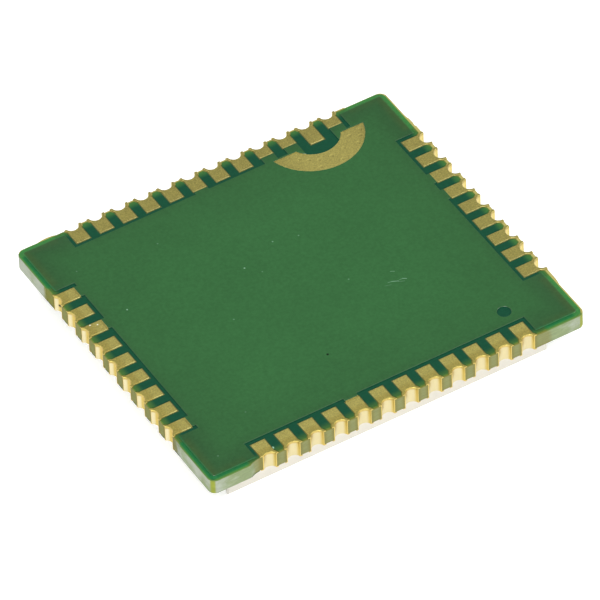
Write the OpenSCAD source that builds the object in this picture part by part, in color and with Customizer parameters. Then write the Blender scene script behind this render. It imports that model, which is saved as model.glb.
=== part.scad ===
// Quad-band GSM radio module with castellated edges, lying on its shield can with the solder side up.
// The origin is the middle of the can's flat outer face, +Z points out of the solder side and +X runs
// along the long edge. Contact 1 is at the right end of the front edge, beside the round spot, and the
// numbers run on along the front, left, back and right edges.

/* [Board] */
// Length of the board between its milled edges, along X
board_l = 17.56; // [16.8:0.02:22]
// Width of the board between its milled edges, along Y
board_w = 15.63; // [15.2:0.01:20]
// How far the milled edges lie off the contacts' pattern, along X
mill_shift_x = 0.08; // [-0.1:0.01:0.1]
// How far the milled edges lie off the contacts' pattern, along Y
mill_shift_y = 0.025; // [-0.1:0.005:0.1]
// Radius of the board's corners
board_corner_r = 0.34; // [0.1:0.02:0.6]
// How much deeper the corners are routed than the milled edges
corner_inset = 0.02; // [0.01:0.01:0.12]
// How far the routed corners lie off the contacts' pattern, along X
corner_shift_x = 0.03; // [-0.06:0.01:0.06]
// How far a castellated run goes past the middle of its last contact
run_overhang = 0.9; // [0.7:0.05:1.2]
// Thickness of the bare laminate
laminate_t = 0.72; // [0.4:0.02:1.6]
// Thickness of the copper on either face
copper_t = 0.04; // [0.02:0.005:0.07]
// Thickness of the solder mask
mask_t = 0.02; // [0.01:0.005:0.03]
// Margin between the mask's own outline and the board's nominal edge
mask_margin = 0.07; // [0.02:0.01:0.12]
// Width of a break-away stub left on a corner's edge
stub_w = 0.9; // [0.4:0.05:1]
// Height of a break-away stub
stub_h = 0.06; // [0.02:0.01:0.1]
// Radius of the dip where the router entered beside a contact
dip_r = 0.9; // [0.6:0.05:1.2]
// Distance of the front dip's middle from its contact
front_dip_step = 0.37; // [0.3:0.01:0.7]
// Depth of the front dip from the milled edge
front_dip_d = 0.16; // [0.08:0.01:0.2]
// Distance of the back dip's middle from its contact
back_dip_step = 0.53; // [0.3:0.01:0.7]
// Depth of the back dip from the milled edge
back_dip_d = 0.09; // [0.05:0.01:0.2]

/* [Contacts] */
// Spacing of the contacts
pitch = 1.1; // [1:0.02:1.16]
// Width of a contact's pad
pad_w = 0.63; // [0.5:0.01:0.72]
// Length of a contact's pad on the solder side, from the middle of its hole
pad_l = 1.025; // [0.8:0.005:1.2]
// Length of a contact's land on the component side, from the middle of its hole
land_l = 0.75; // [0.6:0.01:0.8]
// Finished radius of the half holes
hole_r = 0.3; // [0.2:0.01:0.31]
// Thickness of the plating in the half holes
plating_t = 0.03; // [0.015:0.005:0.04]
// Width of the copper ring round a half hole
ring_w = 0.12; // [0.05:0.01:0.16]
// How far the holes' middles lie outside the board's nominal edge
hole_offset = 0.06; // [0.02:0.01:0.12]
// Gap between a pad and the mask round it
mask_gap = 0.04; // [0.02:0.01:0.06]

/* [Ground copper] */
// Inset of the ground copper from the board's nominal edge
pour_inset = 0.27; // [0.2:0.01:0.5]
// Radius of the ground copper's outer corners
pour_corner_r = 0.15; // [0.05:0.01:0.4]
// Cleared width between a pad and the ground copper
pour_clearance = 0.21; // [0.1:0.01:0.25]
// Width of the copper bridge that joins a ground contact
bridge_w = 0.58; // [0.3:0.02:0.66]
// Radius of the cleared spot that marks contact 1
spot_r = 0.315; // [0.15:0.005:0.5]
// Distance of the spot's middle from the pad of contact 1
spot_gap = 0.87; // [0.7:0.01:1.5]

/* [Antenna contact] */
// Width of the antenna contact's pad
antenna_pad_w = 0.64; // [0.5:0.01:0.74]
// Length of the antenna contact's pad, from the middle of its hole
antenna_pad_l = 1.24; // [1:0.02:1.5]
// Length of the ground pads beside it, from the middle of their holes
guard_pad_l = 0.8; // [0.6:0.02:1]
// Width cleared of copper round the antenna contact
keepout_w = 1.62; // [1.4:0.02:1.8]
// Outer radius of the bare ground arc
arc_outer_r = 2.23; // [1.9:0.01:2.4]
// Inner radius of the bare ground arc
arc_inner_r = 1.22; // [1:0.01:1.4]
// Depth of the arc's centre from the middles of the holes
arc_centre_d = 0.705; // [0.55:0.005:0.85]
// Width of ground copper between the cleared trench and the arc's flat ends
arc_gap = 0.05; // [0.03:0.01:0.3]
// Radius of a plugged via's dimple in the arc
via_r = 0.08; // [0.05:0.005:0.1]
// Depth of a plugged via's dimple
via_d = 0.015; // [0.005:0.005:0.02]
// Distance of the inner row of vias from the arc's inner edge
inner_via_gap = 0.36; // [0.2:0.01:0.4]
// Distance of the outer row of vias from the arc's outer edge
outer_via_gap = 0.21; // [0.15:0.01:0.3]

/* [Shield can] */
// Margin between the can and the board's short edges
can_margin_x = 1.3; // [1.2:0.02:1.6]
// Margin between the can and the board's long edges
can_margin_y = 0.95; // [0.9:0.01:1.4]
// Height of the can, from its outer face to its soldered rim
can_h = 1.48; // [1.4:0.02:2.4]
// Thickness of the can's sheet
can_t = 0.15; // [0.1:0.01:0.2]
// Outer radius of the can's folds
fold_r = 0.2; // [0.18:0.01:0.5]
// Slit between two walls at a corner
corner_slit = 0.06; // [0.03:0.01:0.15]
// How far the ground ring on the board reaches past the can's walls
ring_lap = 0.08; // [0.05:0.01:0.12]

/* [Parts under the shield] */
// Gap between the larger parts, and between them and the can
part_gap = 0.3; // [0.25:0.05:0.5]
// Side of the processor's package
processor_s = 7.6; // [6:0.1:7.8]
// Thickness of the processor's package
processor_t = 0.75; // [0.5:0.05:0.85]
// Spacing of the processor's solder balls
ball_pitch = 0.9; // [0.7:0.05:1]
// Radius of a solder ball
ball_r = 0.2; // [0.16:0.01:0.22]
// Height of a solder ball between package and board
ball_h = 0.24; // [0.2:0.01:0.26]
// Side of the power amplifier's package
amplifier_s = 4.5; // [4.2:0.1:5]
// Thickness of the power amplifier's package
amplifier_t = 0.9; // [0.6:0.05:1]
// Spacing of the power amplifier's lands
amplifier_pitch = 0.9; // [0.7:0.05:0.95]
// Side of one of the power amplifier's lands
amplifier_land_s = 0.45; // [0.3:0.05:0.5]
// Radius of the dimple at a package's first corner
dimple_r = 0.3; // [0.2:0.05:0.5]
// Depth of that dimple
dimple_d = 0.08; // [0.04:0.01:0.15]
// Length of the reference crystal
crystal_l = 3.2; // [2.5:0.1:3.4]
// Width of the reference crystal
crystal_w = 2.5; // [2:0.1:2.6]
// Length of the clock crystal
clock_l = 2; // [1.6:0.1:2.6]
// Width of the clock crystal
clock_w = 1.2; // [1:0.05:1.4]
// Side of a corner land under the reference crystal
crystal_land_s = 0.9; // [0.6:0.05:0.95]
// Side of a corner land under the clock crystal
clock_land_s = 0.45; // [0.3:0.05:0.48]
// Height of a crystal's ceramic base
crystal_t = 0.5; // [0.4:0.05:0.7]
// Thickness of a crystal's metal lid
lid_t = 0.1; // [0.06:0.01:0.2]
// Rim of the ceramic base round the lid
lid_rim = 0.15; // [0.1:0.01:0.25]
// Length of a small chip part
chip_l = 1; // [0.8:0.05:1.1]
// Width of a small chip part
chip_w = 0.5; // [0.4:0.02:0.56]
// Height of a small capacitor or inductor
chip_h = 0.5; // [0.4:0.02:0.6]
// Height of a resistor
resistor_h = 0.35; // [0.25:0.01:0.45]
// Length of a small chip part's metal end
chip_end_l = 0.25; // [0.15:0.01:0.3]
// Length of a supply capacitor
supply_l = 2; // [1.6:0.05:2.2]
// Width of a supply capacitor
supply_w = 1.25; // [0.8:0.05:1.3]
// Height of a supply capacitor
supply_h = 0.9; // [0.6:0.05:1]
// Length of a supply capacitor's metal end
supply_end_l = 0.4; // [0.3:0.05:0.5]
// How far a chip part's ends stand proud of its body
end_step = 0.02; // [0.01:0.005:0.04]
// How far a soldered land shows past the part on it
land_toe = 0.1; // [0.05:0.01:0.12]
// Gap between two chip parts' lands, end to end
chip_gap_x = 0.2; // [0.15:0.01:0.3]
// Gap between two chip parts, side by side
chip_gap_y = 0.35; // [0.2:0.01:0.4]

/* [Hidden] */
$fn = 48;
BIG = 40;

// The edges are front, left, back and right
EDGES = [0 : 3];
BACK = 2;
RIGHT = 3;

// Contacts on each edge, and what they do
EDGE_COUNT = [12, 9, 12, 9];
CONTACTS = 42;
ANTENNA = 32;
SHORT_PADS = [30, 31, 33];
GROUND = [8, 13, 19, 21, 27, 30, 31, 33, 36, 37];

// Break-away stubs, as edge, end of its castellated run and distance from there
STUBS = [[RIGHT, 1, 0.3], [RIGHT, -1, 0.05], [BACK, 1, 0.3]];
// Dips where the router entered, as contact, distance along the edge and depth
DIPS = [[12, -front_dip_step, front_dip_d], [22, back_dip_step, back_dip_d]];

// Plugged vias in the ground arc, in degrees from the antenna contact's axis, in two rows
INNER_VIAS = [-53, -26, -1, 19, 35, 49];
OUTER_VIAS = [-65, -55, -42, -9, 20];

// Balls along one side of the processor, lands along one side of the amplifier, and the chip parts' grids
BALLS = 8;
AMPLIFIER_LANDS = 5;
RESISTOR_GRID = [2, 4];
BYPASS_GRID = [2, 4];
INDUCTOR_GRID = [3, 3];
SUPPLY_GRID = [1, 2];

// Heights, from the can's outer face up
seat_z = can_h;
laminate_z = seat_z + copper_t;
top_z = laminate_z + laminate_t;

// Half holes and cleared trenches
drill_r = hole_r + plating_t;
ring_r = hole_r + ring_w;
trench_d = pad_l + pour_clearance;
arc_flat_d = trench_d + arc_gap;

// The can
can_l = board_l - 2 * can_margin_x;
can_w = board_w - 2 * can_margin_y;
inner_x = can_l / 2 - can_t;
inner_y = can_w / 2 - can_t;

// Grid steps of the chip parts
step_x = chip_l + 2 * land_toe + chip_gap_x;
step_y = chip_w + chip_gap_y;

// Middles of the parts under the shield, set off from the can's walls
processor_at = [-inner_x + part_gap + processor_s / 2, -inner_y + part_gap + processor_s / 2];
amplifier_at = [inner_x - part_gap - amplifier_s / 2, inner_y - part_gap - amplifier_s / 2];
crystal_at = [-inner_x + part_gap + crystal_l / 2, inner_y - part_gap - crystal_w / 2];
clock_at = [inner_x - part_gap - clock_w / 2, -inner_y + part_gap + clock_l / 2];
supply_at = [
    inner_x - part_gap - land_toe - supply_l / 2,
    amplifier_at.y - amplifier_s / 2 - part_gap - supply_w / 2
];
beside_processor = processor_at.x + processor_s / 2 + part_gap + land_toe + chip_l / 2;
resistor_at = [beside_processor, -inner_y + part_gap + chip_w / 2];
bypass_at = [beside_processor, resistor_at.y + RESISTOR_GRID.y * step_y];
inductor_at = [
    crystal_at.x + crystal_l / 2 + part_gap + land_toe + chip_l / 2,
    inner_y - part_gap - chip_w / 2 - (INDUCTOR_GRID.y - 1) * step_y
];
supply_step = supply_w + part_gap;

function two_digits(k) = k < 10 ? str("0", k) : str(k);
function contact_name(k) = str("contact_", two_digits(k));
function has(list, k) = len(search(k, list)) > 0;
function edge_start(e) = e == 0 ? 0 : edge_start(e - 1) + EDGE_COUNT[e - 1];
function edge_of(k) = max([for (e = EDGES) k > edge_start(e) ? e : 0]);
function row_to_middle(e) = (e % 2 == 0 ? board_w : board_l) / 2 + hole_offset;
// How deep the milled edge and the routed corners lie from the middles of an edge's holes
function mill_d(e) = hole_offset + [mill_shift_y, mill_shift_x, -mill_shift_y, -mill_shift_x][e];
function corner_d(e) = hole_offset + corner_inset + [0, corner_shift_x, 0, -corner_shift_x][e];
function along_edge(k) = ((EDGE_COUNT[edge_of(k)] + 1) / 2 - k + edge_start(edge_of(k))) * pitch;
function run_l(e) = (EDGE_COUNT[e] - 1) * pitch + 2 * run_overhang;
function trench_l(e) = (EDGE_COUNT[e] - 1) * pitch + pad_w + 2 * pour_clearance;
function pad_width(k) = k == ANTENNA ? antenna_pad_w : pad_w;
function pad_length(k) = k == ANTENNA ? antenna_pad_l : has(SHORT_PADS, k) ? guard_pad_l : pad_l;
function grid_places(first, grid, step) =
    [for (i = [0 : grid.x - 1], j = [0 : grid.y - 1]) first + [i * step.x, j * step.y]];

RESISTORS = grid_places(resistor_at, RESISTOR_GRID, [step_x, step_y]);
BYPASSES = grid_places(bypass_at, BYPASS_GRID, [step_x, step_y]);
INDUCTORS = grid_places(inductor_at, INDUCTOR_GRID, [step_x, step_y]);
SUPPLIES = grid_places(supply_at, SUPPLY_GRID, [0, -supply_step]);

GOLD = "#a89d60";
COPPER = "#b5824f";
MASK_GREEN = "#3c6e42";
LAMINATE = "#b8b58c";
TIN = "#c9c8c2";
MOULDING = "#2b2c2e";
CERAMIC = "#b59a76";
PALE_CERAMIC = "#d8d2c2";
FERRITE = "#5c5a58";

// Puts its children on an edge: local Y runs into the board from the line through the holes' middles
module on_edge(e) {
    rotate(-90 * e) translate([0, -row_to_middle(e)]) children();
}

// Puts its children at the middle of a contact's hole: local Y runs into the board
module at_contact(k) {
    on_edge(edge_of(k)) translate([along_edge(k), 0]) children();
}

module rounded_rect(l, w, r) {
    square([l - 2 * r, w], center = true);
    square([l, w - 2 * r], center = true);
    for (x = [-1, 1], y = [-1, 1]) translate([x * (l / 2 - r), y * (w / 2 - r)]) circle(r);
}

// A strip along an edge, from a depth d0 to a depth d1
module edge_strip(e, l, d0, d1) {
    on_edge(e) translate([-l / 2, d0]) square([l, d1 - d0]);
}

// A break-away stub: a low arc that stands on a corner's edge
module stub_2d() {
    r = (stub_w * stub_w / 4 + stub_h * stub_h) / (2 * stub_h);
    translate([0, r - stub_h]) intersection() {
        circle(r, $fn = 96);
        translate([-stub_w / 2, -r]) square([stub_w, r]);
    }
}

// The board's plan: routed corners and stubs, with the castellated runs milled to their own line
module board_2d() {
    rim = 2 * corner_inset;
    difference() {
        union() {
            translate([corner_shift_x, 0]) rounded_rect(board_l - rim, board_w - rim, board_corner_r);
            for (e = EDGES) edge_strip(e, run_l(e), mill_d(e), pad_l);
            for (s = STUBS) on_edge(s[0])
                translate([s[1] * (run_l(s[0]) / 2 + s[2]), corner_d(s[0])]) stub_2d();
        }
        for (e = EDGES) edge_strip(e, run_l(e), mill_d(e) - pad_l, mill_d(e));
        for (d = DIPS) at_contact(d[0]) dip_2d(d);
    }
}

// A router's dip beside its contact
module dip_2d(dip) {
    translate([dip[1], mill_d(edge_of(dip[0])) + dip[2] - dip_r]) circle(dip_r);
}

// The part of a round outline that lies inside a contact's milled edge
module inside_edge_2d(k, r) {
    intersection() {
        circle(r);
        translate([-r, mill_d(edge_of(k))]) square(2 * r);
    }
}

// A pad of a contact, with its ring round the half hole
module pad_2d(k, w, l) {
    difference() {
        union() {
            translate([-w / 2, mill_d(edge_of(k))]) square([w, l - mill_d(edge_of(k))]);
            inside_edge_2d(k, ring_r);
        }
        circle(hole_r);
    }
}

// What a mask opening leaves clear round a pad
module pad_opening_2d(w, l) {
    clear_w = w + 2 * mask_gap;
    translate([-clear_w / 2, -pad_l]) square([clear_w, l + mask_gap + pad_l]);
    circle(ring_r + mask_gap);
}

// The outline that both masks are printed to, cut where the board is milled further in
module mask_outline_2d() {
    rim = 2 * mask_margin;
    intersection() {
        rounded_rect(board_l - rim, board_w - rim, board_corner_r);
        board_2d();
    }
}

// The bare ground arc under the antenna contact
module arc_2d() {
    at_contact(ANTENNA) intersection() {
        translate([0, arc_centre_d]) difference() {
            circle(arc_outer_r, $fn = 96);
            circle(arc_inner_r, $fn = 96);
        }
        translate([-BIG / 2, arc_flat_d]) square(BIG);
    }
}

// The area round the antenna contact that has no copper, with its two sides closed in by grow;
// its inner end stays at the bare arc's edge, which no mask covers
module keepout_2d(grow = 0) {
    w = keepout_w - 2 * grow;
    at_contact(ANTENNA) intersection() {
        union() {
            translate([-w / 2, 0]) square([w, arc_centre_d]);
            translate([0, arc_centre_d]) circle(arc_inner_r, $fn = 96);
        }
        translate([-w / 2, 0]) square([w, BIG]);
    }
}

// The ground copper's plan, grown by grow on every side
module pour_2d(grow = 0) {
    rim = 2 * (pour_inset - grow);
    difference() {
        rounded_rect(board_l - rim, board_w - rim, pour_corner_r + grow);
        difference() {
            for (e = EDGES) edge_strip(e, trench_l(e) - 2 * grow, 0, trench_d - grow);
            for (k = GROUND) at_contact(k)
                translate([-bridge_w / 2 - grow, pad_length(k)]) square([bridge_w + 2 * grow, trench_d]);
        }
        keepout_2d(grow);
        at_contact(1) translate([0, pad_l + spot_gap]) circle(spot_r - grow);
    }
}

// The solder mask's plan on the solder side, with its openings
module solder_mask_2d() {
    difference() {
        mask_outline_2d();
        for (k = [1 : CONTACTS]) at_contact(k) pad_opening_2d(pad_width(k), pad_length(k));
        arc_2d();
    }
}

module laminate() {
    color(LAMINATE) translate([0, 0, laminate_z]) linear_extrude(laminate_t) difference() {
        board_2d();
        for (k = [1 : CONTACTS]) at_contact(k) circle(drill_r);
    }
}

module ground_pour() {
    color(COPPER) translate([0, 0, top_z]) linear_extrude(copper_t) difference() {
        pour_2d();
        arc_2d();
    }
}

module antenna_ground_arc() {
    cut_r = (via_r * via_r + via_d * via_d) / (2 * via_d);
    color(GOLD) difference() {
        translate([0, 0, top_z]) linear_extrude(copper_t) arc_2d();
        at_contact(ANTENNA) translate([0, arc_centre_d, top_z + copper_t - via_d + cut_r]) {
            for (a = INNER_VIAS) rotate(-a) translate([0, arc_inner_r + inner_via_gap]) sphere(cut_r);
            for (a = OUTER_VIAS) rotate(-a) translate([0, arc_outer_r - outer_via_gap]) sphere(cut_r);
        }
    }
}

// The mask follows the copper: it steps down into the cleared trenches
module solder_side_mask() {
    color(MASK_GREEN) translate([0, 0, top_z]) difference() {
        union() {
            linear_extrude(mask_t) solder_mask_2d();
            linear_extrude(copper_t + mask_t) intersection() {
                pour_2d(mask_t);
                solder_mask_2d();
            }
        }
        translate([0, 0, -copper_t]) linear_extrude(2 * copper_t) pour_2d();
    }
}

// A contact: a pad on the solder side, a plated half hole and a land on the component side
module contact(k) {
    color(GOLD) difference() {
        at_contact(k) {
            translate([0, 0, top_z]) linear_extrude(copper_t) pad_2d(k, pad_width(k), pad_length(k));
            translate([0, 0, laminate_z]) linear_extrude(laminate_t) difference() {
                inside_edge_2d(k, drill_r);
                circle(hole_r);
            }
            translate([0, 0, seat_z]) linear_extrude(copper_t) pad_2d(k, pad_w, land_l);
        }
        for (d = DIPS) if (d[0] == k) at_contact(k) translate([0, 0, seat_z - copper_t])
            linear_extrude(BIG) dip_2d(d);
    }
}

// Ring that the can is soldered to
module ring_2d(grow = 0) {
    lap = ring_lap + grow;
    difference() {
        square([can_l + 2 * lap, can_w + 2 * lap], center = true);
        square([can_l - 2 * (can_t + lap), can_w - 2 * (can_t + lap)], center = true);
    }
}

// Two lands under the metal ends of a chip part
module chip_lands_2d(l, w, end_l, grow) {
    size = [end_l + land_toe + 2 * grow, w + 2 * grow];
    for (s = [-1, 1]) translate([s * (l - end_l + land_toe) / 2, 0]) square(size, center = true);
}

// Four lands under the corners of a crystal
module corner_lands_2d(l, w, side, grow) {
    for (x = [-1, 1], y = [-1, 1]) translate([x * (l - side) / 2, y * (w - side) / 2])
        square(side + 2 * grow, center = true);
}

// A square grid of lands or balls, n along a side
module square_grid(n, step) {
    for (i = [0 : n - 1], j = [0 : n - 1])
        translate([(i - (n - 1) / 2) * step, (j - (n - 1) / 2) * step]) children();
}

// All copper on the component side: the can's ring and the lands of the parts
module component_copper_2d(grow = 0) {
    ring_2d(grow);
    translate(processor_at) square_grid(BALLS, ball_pitch) circle(ball_r + grow);
    translate(amplifier_at) square_grid(AMPLIFIER_LANDS, amplifier_pitch)
        square(amplifier_land_s + 2 * grow, center = true);
    translate(crystal_at) corner_lands_2d(crystal_l, crystal_w, crystal_land_s, grow);
    translate(clock_at) corner_lands_2d(clock_w, clock_l, clock_land_s, grow);
    for (p = concat(RESISTORS, BYPASSES, INDUCTORS)) translate(p)
        chip_lands_2d(chip_l, chip_w, chip_end_l, grow);
    for (p = SUPPLIES) translate(p) chip_lands_2d(supply_l, supply_w, supply_end_l, grow);
}

module component_side_copper() {
    color(GOLD) translate([0, 0, seat_z]) linear_extrude(copper_t) component_copper_2d();
}

module component_side_mask() {
    color(MASK_GREEN) translate([0, 0, laminate_z - mask_t]) linear_extrude(mask_t) difference() {
        mask_outline_2d();
        for (k = [1 : CONTACTS]) at_contact(k) pad_opening_2d(pad_w, land_l);
        component_copper_2d(mask_gap);
    }
}

// A folded wall's section, from the fold at the flat face up to the rim
module fold_2d() {
    intersection() {
        translate([fold_r, fold_r]) difference() {
            circle(fold_r);
            circle(fold_r - can_t);
        }
        square(fold_r);
    }
}

// The can is one folded sheet: a flat face, four folds and four walls with slits at the corners
module shield_can() {
    face = [can_l - 2 * fold_r, can_w - 2 * fold_r];
    color(TIN) {
        translate([0, 0, can_t / 2]) cube([face.x, face.y, can_t], center = true);
        for (side = [0 : 3]) {
            across = side % 2 == 0 ? can_w : can_l;
            fold_l = side % 2 == 0 ? can_l : face.y - 2 * corner_slit;
            wall_l = side % 2 == 0 ? can_l : can_w - 2 * (can_t + corner_slit);
            rotate(90 * side) translate([0, -across / 2, 0]) {
                translate([-fold_l / 2, 0, 0]) rotate([90, 0, 90]) linear_extrude(fold_l) fold_2d();
                translate([-wall_l / 2, 0, fold_r]) cube([wall_l, can_t, can_h - fold_r]);
            }
        }
    }
}

// A moulded package that hangs from the board, with a dimple at its first corner
module package(side, t, drop) {
    corner = side / 2 - 2 * dimple_r;
    translate([0, 0, seat_z - drop - t]) difference() {
        translate([-side / 2, -side / 2, 0]) cube([side, side, t]);
        translate([-corner, corner, -dimple_d]) cylinder(r = dimple_r, h = 2 * dimple_d);
    }
}

module baseband_processor() {
    color(MOULDING) translate(processor_at) package(processor_s, processor_t, ball_h);
}

module processor_balls() {
    color(TIN) translate([processor_at.x, processor_at.y, seat_z - ball_h / 2])
        square_grid(BALLS, ball_pitch) intersection() {
            sphere(ball_r);
            cube([2 * ball_r, 2 * ball_r, ball_h], center = true);
        }
}

module power_amplifier() {
    color(MOULDING) translate(amplifier_at) package(amplifier_s, amplifier_t, 0);
}

module crystal_base(l, w) {
    translate([0, 0, seat_z - crystal_t]) linear_extrude(crystal_t) square([l, w], center = true);
}

module crystal_lid(l, w) {
    translate([0, 0, seat_z - crystal_t - lid_t]) linear_extrude(lid_t)
        rounded_rect(l - 2 * lid_rim, w - 2 * lid_rim, lid_rim);
}

module reference_crystal() {
    color(PALE_CERAMIC) translate(crystal_at) crystal_base(crystal_l, crystal_w);
}

module reference_crystal_lid() {
    color(TIN) translate(crystal_at) crystal_lid(crystal_l, crystal_w);
}

module clock_crystal() {
    color(PALE_CERAMIC) translate(clock_at) crystal_base(clock_w, clock_l);
}

module clock_crystal_lid() {
    color(TIN) translate(clock_at) crystal_lid(clock_w, clock_l);
}

// A chip part: a body between two metal ends that stand a little proud of it
module chip(l, w, h, end_l) {
    translate([0, 0, seat_z - h / 2]) {
        cube([l - end_l, w - 2 * end_step, h - 2 * end_step], center = true);
        for (s = [-1, 1]) translate([s * (l - end_l) / 2, 0, 0]) cube([end_l, w, h], center = true);
    }
}

module supply_capacitors() {
    color(CERAMIC) for (p = SUPPLIES) translate(p) chip(supply_l, supply_w, supply_h, supply_end_l);
}

module bypass_capacitors() {
    color(CERAMIC) for (p = BYPASSES) translate(p) chip(chip_l, chip_w, chip_h, chip_end_l);
}

module matching_inductors() {
    color(FERRITE) for (p = INDUCTORS) translate(p) chip(chip_l, chip_w, chip_h, chip_end_l);
}

module resistors() {
    color(MOULDING) for (p = RESISTORS) translate(p) chip(chip_l, chip_w, resistor_h, chip_end_l);
}

laminate();
ground_pour();
antenna_ground_arc();
solder_side_mask();
component_side_copper();
component_side_mask();
shield_can();
baseband_processor();
processor_balls();
power_amplifier();
reference_crystal();
reference_crystal_lid();
clock_crystal();
clock_crystal_lid();
supply_capacitors();
bypass_capacitors();
matching_inductors();
resistors();
for (k = [1 : CONTACTS]) contact(k);
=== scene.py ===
"""Looks of a castellated GSM radio module that lies on its shield can with the solder side up.

It is laid out as an add-on and run as a script. Lengths are in metres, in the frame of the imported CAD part.
"""

import contextlib
import math

import bmesh
import bpy
from mathutils import Matrix, Vector


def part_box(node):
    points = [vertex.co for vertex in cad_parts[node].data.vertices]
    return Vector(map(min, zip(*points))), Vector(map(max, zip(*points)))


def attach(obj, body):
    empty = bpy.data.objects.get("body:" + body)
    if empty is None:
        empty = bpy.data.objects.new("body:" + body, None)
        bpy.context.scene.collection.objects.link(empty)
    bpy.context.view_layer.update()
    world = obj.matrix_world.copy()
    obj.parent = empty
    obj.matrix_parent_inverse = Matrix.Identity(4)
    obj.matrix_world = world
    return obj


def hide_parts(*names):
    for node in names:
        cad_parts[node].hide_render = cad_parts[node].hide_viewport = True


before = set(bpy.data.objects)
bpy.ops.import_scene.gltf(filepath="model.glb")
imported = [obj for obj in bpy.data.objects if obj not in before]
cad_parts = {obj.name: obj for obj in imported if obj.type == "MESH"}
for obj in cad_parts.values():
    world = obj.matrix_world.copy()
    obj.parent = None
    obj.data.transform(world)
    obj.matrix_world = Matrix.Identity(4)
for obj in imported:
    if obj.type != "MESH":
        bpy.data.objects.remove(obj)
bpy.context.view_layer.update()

bl_info = {
    "name": "GSM module looks",
    "version": (1, 0, 0),
    "blender": (4, 5, 0),
    "location": "View3D > Sidebar > GSM module",
    "description": "Models and finishes a castellated radio module around its CAD frame",
    "category": "Object",
}

MM = 0.001
# Points this near are taken as one when a CAD node's copy is merged
MERGE = 1.2e-5
# Points this near to a level or a line are taken as on it
NEAR = 2e-6
# Points this near to a cutting plane are taken as on it
CUT = 1e-8
# An edge that turns by more than this is rounded off
SHARP = math.radians(30)
# An edge that turns by less than this is shaded smooth
SMOOTH = math.radians(12)
# Steps of a rim's rounding, in degrees
ROUNDING = (0, 30, 60, 90)
# Sides of small and of large round shapes
ROUND = 96
LARGE_ROUND = 192

# Contacts are numbered from the right end of the front edge, on along the front, left, back and right edges
EDGE_COUNTS = (12, 9, 12, 9)
# The antenna's contact, the ground contacts beside it, and the two contacts that the router dips into
ANTENNA = 32
GUARDS = (30, 31, 33)
FRONT_DIP = 12
BACK_DIP = 22

# Plugged vias in the ground arc, in degrees from the antenna contact's axis
INNER_VIAS = (-53, -26, -1, 19, 35, 49)
OUTER_VIAS = (-65, -55, -42, -9, 20)

# Dust on the mask, as x, y and radius in millimetres and strength
SPECKS = (
    (-6.62, 2.40, 0.05, 0.4), (-1.42, 1.87, 0.05, 0.4), (0.33, 2.57, 0.05, 0.24),
    (1.78, -0.98, 0.05, 0.18), (1.40, 2.30, 0.05, 0.16), (-3.30, -0.43, 0.05, 0.15),
    (-3.65, 5.02, 0.05, 0.14), (-0.92, 1.30, 0.05, 0.11), (-7.22, 5.42, 0.05, 0.11),
    (-5.60, -5.18, 0.06, 0.08), (-7.77, -6.68, 0.06, 0.1), (-5.70, -7.44, 0.08, 0.85),
)
# Scratches on the mask, as the two ends in millimetres and strength
SCRATCHES = (
    (3.01, -2.02, 3.16, -2.04, 0.16), (3.16, -2.04, 3.41, -2.16, 0.3), (3.48, -2.13, 3.63, -2.13, 0.14),
    (3.63, -2.13, 3.76, -2.22, 0.3), (3.40, -2.20, 3.62, -2.29, 0.12), (2.83, -2.12, 3.05, -2.19, 0.08),
    (3.43, -1.52, 3.57, -1.60, 0.18),
)
SCRATCH_W = 0.032
# A dark speck in the mask
DARK_SPECK = (-1.17, -4.19, 0)
DARK_SPECK_R = 0.08
# Dust on a pad of the left edge, and a dark speck in the half hole of another
PAD_DUST = ((-8.044, 2.329, 2.28), (-8.32, 2.454, 2.28))
PAD_DUST_R = 0.045
BARREL_SPECK = (-8.557, 4.5, 1.825)
BARREL_SPECK_R = 0.1
# Share of a speck's radius that has its full strength
SPECK_CORE = 0.3


def screen(red, green, blue):
    """The linear colour that shows as these display values, each from 0 to 255."""
    def linear(value):
        share = value / 255
        return share / 12.92 if share <= 0.04045 else ((share + 0.055) / 1.055) ** 2.4
    return linear(red), linear(green), linear(blue)


def length(label, text, millimetres):
    """A size property that a user can change."""
    return bpy.props.FloatProperty(
        name=label, description=text, default=millimetres * MM, min=0.0, precision=6,
        subtype="DISTANCE", unit="LENGTH")


def colour(label, text, shown):
    """A colour property, given by its display values."""
    return bpy.props.FloatVectorProperty(
        name=label, description=text, default=screen(*shown), min=0.0, max=1.0, size=3, subtype="COLOR")


class ContactSizes(bpy.types.PropertyGroup):
    """Sizes of the plated contacts."""
    pitch: length("Pitch", "Spacing of the contacts", 1.1)
    pad_w: length("Pad width", "Width of a contact's pad", 0.63)
    pad_l: length("Pad length", "Length of a contact's pad from the middle of its hole", 1.025)
    antenna_w: length("Antenna pad width", "Width of the antenna contact's pad", 0.64)
    antenna_l: length("Antenna pad length", "Length of the antenna's pad from its hole's middle", 1.24)
    guard_l: length("Guard pad length", "Length of the ground pads beside the antenna contact", 0.8)
    land_l: length("Land length", "Length of a contact's land on the component side", 0.75)
    copper_t: length("Copper thickness", "Thickness of a pad", 0.04)
    hole_r: length("Hole radius", "Finished radius of the half holes", 0.3)
    plating_t: length("Plating thickness", "Thickness of the plating in the half holes", 0.03)
    ring_w: length("Ring width", "Width of the copper ring round a half hole", 0.12)
    rim_r: length("Rim rounding", "Rounding of the etched and plated rims", 0.022)
    corner_r: length("Pad corner radius", "Radius of the pads' etched corners", 0.05)
    dip_r: length("Dip radius", "Radius of the router's dips", 0.9)
    front_dip_step: length("Front dip step", "Distance of the front dip from its contact", 0.37)
    front_dip_d: length("Front dip depth", "Depth of the front dip", 0.16)
    back_dip_step: length("Back dip step", "Distance of the back dip from its contact", 0.53)
    back_dip_d: length("Back dip depth", "Depth of the back dip", 0.09)


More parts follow.
